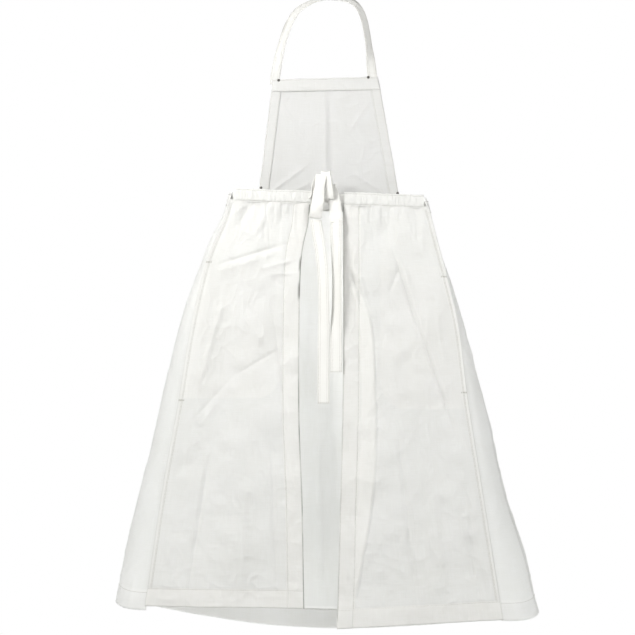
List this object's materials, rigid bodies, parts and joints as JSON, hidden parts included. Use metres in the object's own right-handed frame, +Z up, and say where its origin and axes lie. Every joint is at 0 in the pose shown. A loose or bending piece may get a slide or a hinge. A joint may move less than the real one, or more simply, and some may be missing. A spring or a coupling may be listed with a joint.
{
  "type": "butcher apron",
  "caption": "Full-length wrap-back bib apron of light woven cloth, with a halter neck loop, in-seam pockets and ties knotted at the back of the waist.",
  "frame": {"origin": "the point on the underside of the neck loop's crown where the loop rests on a hook or a neck", "axes": "+Z up along the hanging apron, +Y to the wearer's front, +X to the wearer's left, which is to the right in a view of the tied back"},
  "size_m": [0.8613, 0.1687, 1.2741],
  "materials": {
    "cloth": "matte plain weave, one layer, slightly see-through",
    "doubled_cloth": "matte plain weave, folded and stitched",
    "tape": "matte, folded and edge stitched",
    "rivet_metal": "satin, dark"
  },
  "bodies": {
    "neck_loop": {"neck_strap": "tape"},
    "bib": {"bib_panel": "cloth", "bib_tape_left": "tape", "bib_tape_right": "tape", "bib_top_facing": "doubled_cloth", "rivet_cap_bib_top_left": "rivet_metal", "rivet_washer_bib_top_left": "rivet_metal", "rivet_cap_bib_base_left": "rivet_metal", "rivet_washer_bib_base_left": "rivet_metal", "rivet_cap_bib_top_right": "rivet_metal", "rivet_washer_bib_top_right": "rivet_metal", "rivet_cap_bib_base_right": "rivet_metal", "rivet_washer_bib_base_right": "rivet_metal"},
    "skirt": {"front_skirt_panel": "cloth", "waistband_front": "doubled_cloth", "waistband_lining": "doubled_cloth", "front_hem_facing": "doubled_cloth", "pocket_bag_back_left": "cloth", "pocket_bag_back_right": "cloth", "pocket_bag_front_left": "cloth", "pocket_bag_front_right": "cloth", "casing_left": "doubled_cloth", "casing_right": "doubled_cloth", "waist_tie_left": "tape", "waist_tie_right": "tape", "tie_knot": "tape", "tie_bow_loop": "tape"},
    "left_back_panel": {"back_panel_left": "cloth", "opening_facing_left": "doubled_cloth", "back_hem_facing_left": "doubled_cloth"},
    "right_back_panel": {"back_panel_right": "cloth", "opening_facing_right": "doubled_cloth", "back_hem_facing_right": "doubled_cloth"},
    "left_tie_tail": {"tie_tail_left": "tape"},
    "right_tie_tail": {"tie_tail_right": "tape"}
  },
  "joints": [
    {"name": "neck_fold", "type": "hinge", "parent": "neck_loop", "child": "bib", "pos_m": [0, 0, -0.158], "axis": [1, 0, 0], "range_deg": [-120, 120]},
    {"name": "waist_fold", "type": "hinge", "parent": "bib", "child": "skirt", "pos_m": [0, 0, -0.392], "axis": [1, 0, 0], "range_deg": [-30, 120]},
    {"name": "left_panel_swing", "type": "hinge", "parent": "skirt", "child": "left_back_panel", "pos_m": [-0.1744, -0.0449, -0.388], "axis": [-0.2129, -0.0166, -0.9769], "range_deg": [0, 120]},
    {"name": "right_panel_swing", "type": "hinge", "parent": "skirt", "child": "right_back_panel", "pos_m": [0.1744, -0.0449, -0.388], "axis": [-0.2129, 0.0166, 0.9769], "range_deg": [0, 120]},
    {"name": "left_tail_swing", "type": "hinge", "parent": "skirt", "child": "left_tie_tail", "pos_m": [0, -0.05752, -0.444], "axis": [-1, 0, 0], "range_deg": [0, 95]},
    {"name": "right_tail_swing", "type": "hinge", "parent": "skirt", "child": "right_tie_tail", "pos_m": [0, -0.05752, -0.444], "axis": [-1, 0, 0], "range_deg": [0, 95]}
  ]
}
